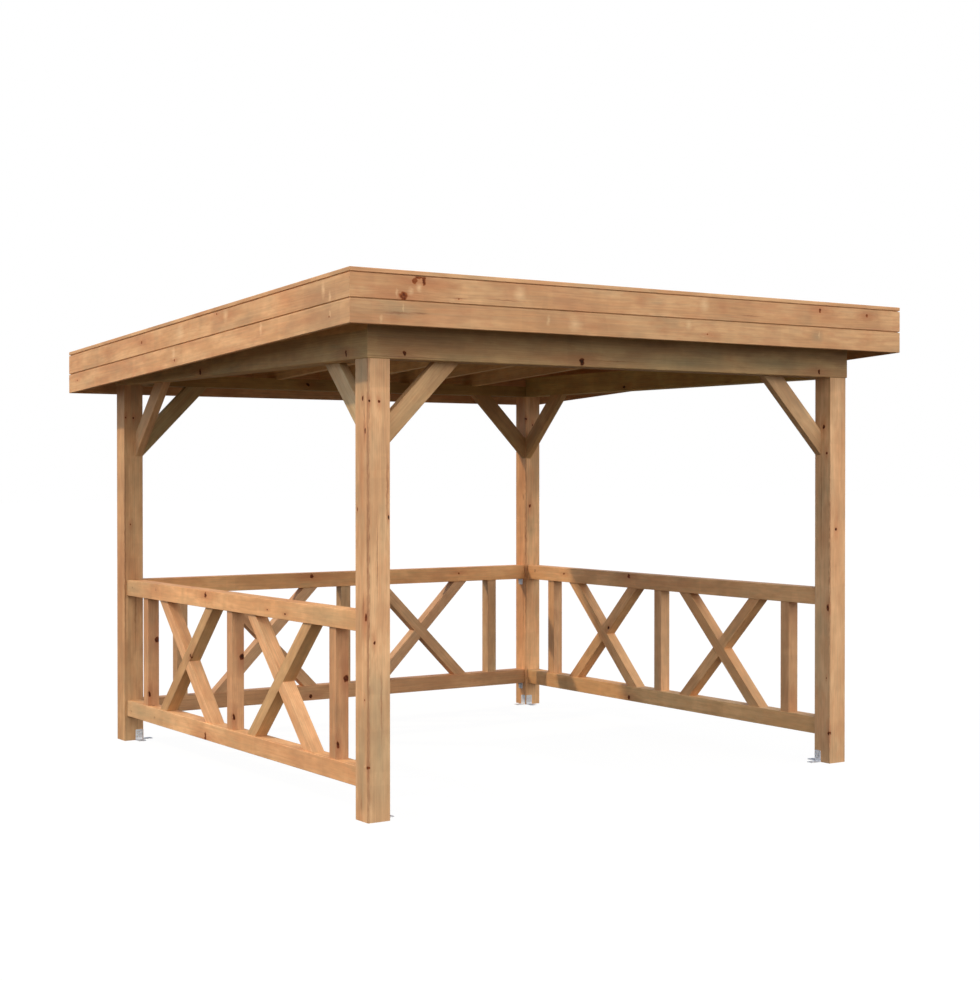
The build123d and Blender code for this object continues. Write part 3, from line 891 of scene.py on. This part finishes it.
def dress(piece, finish):
    """Gives a piece this finish and no other."""
    piece.data.materials.clear()
    piece.data.materials.append(finish)


def start_piece(name, size, middle):
    """A new cube of this size at this place, selected alone and in edit mode."""
    bpy.ops.object.select_all(action="DESELECT")
    bpy.ops.mesh.primitive_cube_add(size=1, location=middle)
    piece = bpy.context.object
    piece.name = piece.data.name = name
    piece.scale = size
    bpy.ops.object.transform_apply(location=True, rotation=True, scale=True)
    bpy.ops.object.mode_set(mode="EDIT")
    return piece


def pick(piece, mode, chosen):
    """Selects the vertices, edges or faces of the piece for which chosen(middle, way) is true."""
    bpy.ops.mesh.select_mode(type=mode)
    bpy.ops.mesh.select_all(action="DESELECT")
    bpy.ops.object.mode_set(mode="OBJECT")
    mesh = piece.data
    if mode == "FACE":
        for face in mesh.polygons:
            face.select = chosen(face.center, face.normal)
    elif mode == "EDGE":
        for edge in mesh.edges:
            a, b = (mesh.vertices[i].co for i in edge.vertices)
            edge.select = chosen((a + b) / 2, (b - a).normalized())
    else:
        for vertex in mesh.vertices:
            vertex.select = chosen(vertex.co, vertex.normal)
    bpy.ops.object.mode_set(mode="EDIT")


def settle(piece, smooth_below=35):
    """Leaves edit mode, applies the place to the mesh and smooths what is round."""
    if piece.mode == "EDIT":
        bpy.ops.object.mode_set(mode="OBJECT")
    choose(piece)
    bpy.ops.object.transform_apply(location=True, rotation=True, scale=True)
    bpy.ops.object.shade_smooth_by_angle(angle=radians(smooth_below))
    return piece


def copy_to(pattern, name, matrix):
    """A copy of a finished piece, with its own mesh, at another place."""
    choose(pattern)
    bpy.ops.object.duplicate(linked=False)
    piece = bpy.context.object
    piece.name = piece.data.name = name
    piece.matrix_world = matrix
    bpy.ops.object.transform_apply(location=True, rotation=True, scale=True)
    return piece


def drop(piece):
    """Removes a pattern or a tool that is done with."""
    bpy.data.objects.remove(piece, do_unlink=True)


def inner_faces(inset, height):
    """The two inner faces of each post: post, lie of the piece, its place and the way it runs."""
    for side_y, y_name, corner_y in ((-1, "front", inner_front), (1, "back", inner_back)):
        for side_x, x_name in ((-1, "left"), (1, "right")):
            across = (side_x * inner_x, corner_y + side_y * inset, height)
            deep = (side_x * (inner_x + inset), corner_y, height)
            yield f"{y_name}_{x_name}", "across", across, (-side_x, 0)
            yield f"{y_name}_{x_name}", "deep", deep, (0, -side_y)


def turned_to(spot, run):
    """The matrix that moves a piece to this spot and turns its X axis to the way it runs."""
    turns = {(1, 0): 0, (-1, 0): 180, (0, 1): 90, (0, -1): -90}
    return Matrix.Translation(spot) @ Matrix.Rotation(radians(turns[run]), 4, "Z")


print("inner faces of the posts:", len(list(inner_faces(0, 0))))

# %% One brace, then eight
brace_reach = brace_leg - brace_depth * sqrt(2)
brace_middle = (brace_leg + brace_reach) / 4
brace_length, brace_blank = 0.5, 0.8  # about, and the bar that it is cut from
brace = start_piece("brace_pattern", (brace_blank, brace_thickness, brace_depth), (0, 0, 0))
pick(brace, "EDGE", lambda middle, way: abs(way.x) > straight)
bpy.ops.mesh.bevel(offset=arris, segments=3, affect="EDGES")
bpy.ops.mesh.select_all(action="SELECT")
bpy.ops.object.mode_set(mode="OBJECT")
leaning = Matrix.Rotation(radians(-45), 4, "Y")
brace.matrix_world = Matrix.Translation((brace_middle, 0, -brace_middle)) @ leaning
settle(brace)
bpy.ops.object.mode_set(mode="EDIT")
for way in (-X, Z):
    bpy.ops.mesh.select_all(action="SELECT")
    bpy.ops.mesh.bisect(plane_co=(0, 0, 0), plane_no=way, use_fill=True, clear_outer=True)
settle(brace)
print("brace reaches", [round(c, 3) for c in brace.dimensions], "m with", len(brace.data.polygons), "faces")

for post, lie, spot, run in inner_faces(brace_inset + brace_thickness / 2, post_height):
    name = f"brace_{post}_{lie}"
    piece = copy_to(brace, name, turned_to(spot, run))
    away = Vector((*run, 0))
    middle = Vector(spot) + away * brace_middle - Z * brace_middle
    sides = (((away - Z).normalized(), brace_depth / 2), (Z.cross(away), brace_thickness / 2))
    timber(name, "frame_timber", away + Z, brace_length, sides, [middle])
    dress(piece, pine_finish(name)[0])
    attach(piece, "root")
    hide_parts(f"braces_{post}")
drop(brace)

# %% [markdown]
# ## The roof boards
# From below, the roof is a ceiling of tongued boards that lie across the rafters. Each joint shows as a
# small V. One board is made with its lower edges cut back, an Array modifier lays the others beside it, and
# the whole ceiling is then tilted to the roof's pitch.

# %% Boards
board_count = 37
deck_run = 2 * (roof_y - fascia_thickness) / cos(pitch)
board_cover = deck_run / board_count
deck_span = 2 * (roof_x - fascia_thickness)
board_gap, joint_cut = 0.0012, 0.004
on_slope = Matrix.Translation((0, 0, rafter_under)) @ Matrix.Rotation(-pitch, 4, "X")
first_board = -deck_run / 2 + board_cover / 2
deck = start_piece(
    "roof_boards",
    (deck_span, board_cover - board_gap, deck_thickness),
    (0, first_board, deck_under + deck_thickness / 2),
)
pick(deck, "EDGE", lambda middle, way: abs(way.x) > straight and middle.z < deck_under + near)
bpy.ops.mesh.bevel(offset=joint_cut, segments=1, affect="EDGES")
bpy.ops.object.mode_set(mode="OBJECT")
beside = deck.modifiers.new("beside", "ARRAY")
beside.count = board_count
beside.use_relative_offset = False
beside.use_constant_offset = True
beside.constant_offset_displace = (0, board_cover, 0)
bpy.ops.object.modifier_apply(modifier=beside.name)
deck.matrix_world = on_slope
settle(deck)
sides = ((Y, board_cover / 2), (Z, deck_thickness / 2))
middle = (0, 0, rafter_under + deck_under)
row = (1, 0, board_cover * cos(pitch))
timber("roof_boards", "roof_timber", X, deck_span, sides, [middle], row)
dress(deck, pine_finish("roof_boards")[0])
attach(deck, "root")
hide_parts("roof_deck")
print("roof boards:", board_count, "of", round(board_cover * 1000, 1), "mm")

# %% [markdown]
# ## The roof felt
# Mineral felt comes on a roll a metre wide. The first length is laid along the low back edge, and each next
# one laps over it, so water never runs into a joint. A strip is a thin sheet with a step where it climbs on
# to its neighbour. The surface is crushed slate pressed into bitumen: matt, gritty and dark grey, with
# grains about 1.5 mm across. They are drawn at 5 mm so that they show.

# %% Felt strips
felt_lap, felt_climb = 0.110, 0.012  # how far strips lap, and how long the step up is
edge_round = 0.35  # share of a ply
felt_strips = 4
felt_ply = felt_thickness / 2
strip_cover = (deck_run - felt_lap) / felt_strips
felt_bed = deck_under + deck_thickness


def felt_strip(i):
    """One length of felt. Strip 0 lies along the back edge, and each next one laps over the one before."""
    low_edge = deck_run / 2 - i * strip_cover
    width = strip_cover + felt_lap
    middle = (0, low_edge - width / 2, felt_bed + felt_ply / 2)
    strip = start_piece(f"felt_{i}", (deck_span, width, felt_ply), middle)
    bpy.ops.mesh.select_all(action="SELECT")
    for cut in (felt_lap, felt_lap + felt_climb):
        bpy.ops.mesh.bisect(plane_co=(0, low_edge - cut, 0), plane_no=(0, 1, 0))
        bpy.ops.mesh.select_all(action="SELECT")
    if i:
        pick(strip, "VERT", lambda place, way: place.y > low_edge - felt_lap - near)
        bpy.ops.transform.translate(value=(0, 0, felt_ply))
    pick(strip, "EDGE", lambda middle, way: abs(way.x) > straight and abs(middle.y - low_edge) < near)
    bpy.ops.mesh.bevel(offset=felt_ply * edge_round, segments=2, affect="EDGES")
    bpy.ops.object.mode_set(mode="OBJECT")
    strip.matrix_world = on_slope
    return settle(strip)


print("felt:", felt_strips, "strips,", round(strip_cover * 1000), "mm showing on each")

# %% Felt finish
grit_size, weather_size = 5, 600  # mm
felt, tree = new_finish("roofing_felt_slate_faced")
place = put(tree, "TexCoord", out="Object")
grit = put(tree, "TexVoronoi", {"Vector": place, "Scale": per_metre(grit_size)[0]}, None)
grain_shade = put(tree, "SeparateColor", {0: grit["Color"]}, "Red")
weather = put(tree, "TexNoise", {"Vector": place, "Scale": per_metre(weather_size)[0], "Detail": 4})
feeds = {0: grain_shade, 6: linear("#2f3133"), 7: linear("#5b5e60")}
stone = put(tree, "Mix", feeds, 2, data_type="RGBA")
dust = put(tree, "MapRange", {"Value": weather, "From Min": 0.45, "From Max": 0.8, "To Max": 0.35})
faded = put(tree, "Mix", {0: dust, 6: stone, 7: linear("#77756f")}, 2, data_type="RGBA")
dull = put(tree, "MapRange", {"Value": grain_shade, "To Min": 0.78, "To Max": 0.95})
feeds = {"Height": grit["Distance"], "Strength": 0.6, "Distance": 0.002}
pitted = put(tree, "Bump", feeds, invert=True)
feeds = {"Base Color": faded, "Roughness": dull, "Normal": pitted, "IOR": 1.6}
shader = put(tree, "BsdfPrincipled", feeds)
put(tree, "OutputMaterial", {"Surface": shader}, None)
for i in range(felt_strips):
    strip = felt_strip(i)
    dress(strip, felt)
    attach(strip, "root")
    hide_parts("roof_felt")
print("felt:", len(tree.nodes), "nodes in its finish")

# %% [markdown]
# ## Galvanised steel
# The angles are pressed from steel sheet and dipped in zinc. Zinc cools in crystals, which show as a
# spangle of slightly lighter and darker flakes about 8 mm across. In the open air it grows a thin pale skin
# of zinc carbonate, so only a third of it still looks metallic, with a roughness about 0.55. The screws are
# plated with brighter zinc and are still bare metal.


# %% Zinc finishes
cloud_size = 30  # mm


def zinc(name, pale, deep, flake, low_rough, high_rough, metallic):
    """A zinc surface with crystals of this size in millimetres."""
    metal, tree = new_finish(name)
    place = put(tree, "TexCoord", out="Object")
    feeds = {"Vector": place, "Scale": per_metre(flake)[0], "Randomness": 1}
    crystal = put(tree, "TexVoronoi", feeds, "Color")
    shade = put(tree, "SeparateColor", {0: crystal}, "Green")
    cloud = put(tree, "TexNoise", {"Vector": place, "Scale": per_metre(cloud_size)[0], "Detail": 3})
    mixed = put(tree, "Math", {0: shade, 1: cloud}, operation="MULTIPLY", use_clamp=True)
    tone = put(tree, "Mix", {0: mixed, 6: linear(pale), 7: linear(deep)}, 2, data_type="RGBA")
    dull = put(tree, "MapRange", {"Value": shade, "To Min": low_rough, "To Max": high_rough})
    relief = put(tree, "Bump", {"Height": cloud, "Strength": 0.15, "Distance": 0.0005})
    feeds = {"Base Color": tone, "Metallic": metallic, "Roughness": dull, "Normal": relief}
    shader = put(tree, "BsdfPrincipled", feeds)
    put(tree, "OutputMaterial", {"Surface": shader}, None)
    return metal


sheet_zinc = zinc(
    "galvanised_steel_spangled", "#e9edf4", "#c3cad6",
    flake=8, low_rough=0.48, high_rough=0.62, metallic=0.35,
)
screw_zinc = zinc(
    "zinc_plated_steel_turned", "#e4e7e8", "#c6cccf",
    flake=3, low_rough=0.30, high_rough=0.42, metallic=1,
)
print("metals:", sheet_zinc.name, screw_zinc.name)

# %% [markdown]
# ## The punched angles
# An angle starts as a strip of sheet. Its heel is cut across, the heel's top face is extruded up to make the
# second leg, the bend is rounded with bevels, and the corners of both tips are rounded. The holes are
# punched with a Boolean modifier: two large ones for ground screws in the sole of a foot angle, and a
# pattern of small ones for screws into the timber.

# %% Model the angles
hole_radius, ground_hole_radius = 0.0026, 0.0055
punch_length, hole_sides = 0.02, 20
ground_hole_places = (0.020, 0.045)
tip_round, outer_bend, inner_bend = 0.006, 0.0042, 0.0016
bend_near = 0.0005
foot_rows, foot_columns = (0.020, 0.030, 0.040, 0.050), (-0.012, 0.0, 0.012)
rail_rows, rail_columns = (0.016, 0.030), (-0.011, 0.011)


def punch(piece, holes):
    """Cuts round holes. Each hole is a place, a radius and True where it goes through the wall."""
    cutters = []
    for place, radius, wall in holes:
        bpy.ops.object.select_all(action="DESELECT")
        turn = (0, radians(90), 0) if wall else (0, 0, 0)
        bpy.ops.mesh.primitive_cylinder_add(
            vertices=hole_sides, radius=radius, depth=punch_length, location=place, rotation=turn
        )
        cutters.append(bpy.context.object)
    for cutter in cutters:
        cutter.select_set(True)
    bpy.context.view_layer.objects.active = cutters[0]
    bpy.ops.object.join()
    tool = bpy.context.object
    choose(piece)
    cut = piece.modifiers.new("punch", "BOOLEAN")
    cut.operation, cut.object, cut.solver = "DIFFERENCE", tool, "EXACT"
    bpy.ops.object.modifier_apply(modifier=cut.name)
    drop(tool)


def bent_angle(name, leg, sole_holes, wall_holes):
    """An angle whose sole lies on the ground along X and whose wall stands up from the origin."""
    sheet = bracket_sheet

    def at_tip(middle, way):
        on_sole = abs(way.z) > straight and middle.x > leg - near
        on_wall = abs(way.x) > straight and middle.z > leg - near
        return on_sole or on_wall

    def in_bend(depth):
        def chosen(middle, way):
            apart = max(abs(middle.x - depth), abs(middle.z - depth))
            return abs(way.y) > straight and apart < bend_near

        return chosen

    angle = start_piece(name, (leg, bracket_width, sheet), (leg / 2, 0, sheet / 2))
    bpy.ops.mesh.select_all(action="SELECT")
    bpy.ops.mesh.bisect(plane_co=(sheet, 0, 0), plane_no=(1, 0, 0))
    pick(angle, "FACE", lambda middle, way: way.z > straight and middle.x < sheet)
    bpy.ops.mesh.extrude_region_move(TRANSFORM_OT_translate={"value": (0, 0, leg - sheet)})
    rounds = ((at_tip, tip_round, 5), (in_bend(0), outer_bend, 5), (in_bend(sheet), inner_bend, 3))
    for chosen, radius, segments in rounds:
        pick(angle, "EDGE", chosen)
        bpy.ops.mesh.bevel(offset=radius, segments=segments, affect="EDGES")
    bpy.ops.object.mode_set(mode="OBJECT")
    holes = [((x, y, sheet / 2), radius, False) for x, y, radius in sole_holes]
    holes += [((sheet / 2, y, z), radius, True) for z, y, radius in wall_holes]
    punch(angle, holes)
    dress(angle, sheet_zinc)
    return settle(angle, smooth_below=30)


ground_holes = [(x, 0, ground_hole_radius) for x in ground_hole_places]
foot_grid = [(z, y, hole_radius) for z in foot_rows for y in foot_columns]
foot_angle = bent_angle("foot_angle_pattern", foot_leg, ground_holes, foot_grid)
rail_grid = [(d, y, hole_radius) for d in rail_rows for y in rail_columns]
rail_angle = bent_angle("rail_angle_pattern", rail_leg, rail_grid, rail_grid)
for angle in (foot_angle, rail_angle):
    print(angle.name, len(angle.data.polygons), "faces")

# %% [markdown]
# ## The screws
# A round-headed screw shows as a low dome with a six-pointed socket. A short cylinder gets a rounded rim and
# a socket: its top is inset, every other corner is drawn in to make the star, and the star is sunk.

# %% Model the screw
head_radius, head_height, head_sides = 0.0045, 0.0022, 24
rim_round, rim_width, socket_depth = 0.0013, 0.0010, 0.0014
star = (1.0, 0.86, 0.72, 0.86)  # how far the socket's corners lie from its middle, one after another
head_top = head_height - 0.0001  # what lies above this belongs to the top
rim_from, socket_within = 0.9 * head_radius, 0.6 * head_radius
level = 0.99
bpy.ops.object.select_all(action="DESELECT")
bpy.ops.mesh.primitive_cylinder_add(
    vertices=head_sides, radius=head_radius, depth=head_height, location=(0, 0, head_height / 2)
)
screw = bpy.context.object
screw.name = screw.data.name = "screw_pattern"
bpy.ops.object.transform_apply(location=True, rotation=True, scale=True)
bpy.ops.object.mode_set(mode="EDIT")
pick(screw, "EDGE", lambda middle, way: middle.z > head_top and middle.xy.length > rim_from)
bpy.ops.mesh.bevel(offset=rim_round, segments=3, affect="EDGES")
pick(screw, "FACE", lambda middle, way: way.z > level and middle.z > head_top)
bpy.ops.mesh.inset(thickness=rim_width)
bpy.ops.mesh.extrude_region_move(TRANSFORM_OT_translate={"value": (0, 0, -socket_depth)})
bpy.ops.object.mode_set(mode="OBJECT")
socket_corners = [v for v in screw.data.vertices if v.co.xy.length < socket_within]
for corner in socket_corners:
    turn = round(corner.co.xy.angle_signed(Vector((1, 0))) / radians(360 / head_sides)) % len(star)
    corner.co.xy *= star[turn]
dress(screw, screw_zinc)
settle(screw, smooth_below=40)
print("screw:", len(screw.data.polygons), "faces,", len(socket_corners), "socket corners")

# %% [markdown]
# ## Angles in their places
# Two angles hold each post foot to the ground, on the two faces that look into the gazebo. A smaller one,
# turned upside down, carries each end of the back rails. Each gets its own copies of the screw, set on the
# sheet and turned by a different amount, as a hand leaves them.

# %% Place the angles and screws
draw = random.Random("screws")
most_spin = 3.14


def fasten(pattern, name, matrix, spots, node):
    """Places an angle and screws it down: each spot is a place on the angle and the way the head looks."""
    parts = [copy_to(pattern, name, matrix)]
    for i, (spot, way) in enumerate(spots):
        upright = Vector(way).to_track_quat("Z", "Y").to_matrix().to_4x4()
        spun = upright @ Matrix.Rotation(draw.uniform(0, most_spin), 4, "Z")
        parts.append(copy_to(screw, f"{name}_screw_{i}", matrix @ Matrix.Translation(spot) @ spun))
    for part in parts:
        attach(part, "root")
        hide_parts(node)


placed = 0
wall_out = (1, 0, 0)
foot_spots = ((foot_rows[1], foot_columns[0]), (foot_rows[2], foot_columns[2]))
foot_screws = [((bracket_sheet, y, z), wall_out) for z, y in foot_spots]
for post, lie, spot, run in inner_faces(foot_edge_gap + bracket_width / 2, 0):
    fasten(foot_angle, f"foot_angle_{post}_{lie}", turned_to(spot, run), foot_screws, "ground_brackets")
    placed += 1

rail_screws = [((bracket_sheet, y, d), wall_out) for d, y in zip(rail_rows, rail_columns)]
rail_screws += [((d, y, bracket_sheet), (0, 0, 1)) for d, y in zip(rail_rows, rail_columns[::-1])]
upside_down = Matrix.Rotation(radians(180), 4, "X")
place, run = panels["back"][:2]
for rail, under in (("low", rail_low), ("high", rail_high - rail_height)):
    for end, which in ((-1, "start"), (1, "end")):
        spot = place + run * (end * inner_x) + Z * under
        way = run * -end
        matrix = turned_to(spot, (round(way.x), round(way.y))) @ upside_down
        fasten(rail_angle, f"rail_angle_back_{rail}_{which}", matrix, rail_screws, "rail_brackets")
        placed += 1
for pattern in (foot_angle, rail_angle, screw):
    drop(pattern)
print("angles placed:", placed)

# %% [markdown]
# ## Bring the scene up to date

# %% Update the view layer
bpy.context.view_layer.update()
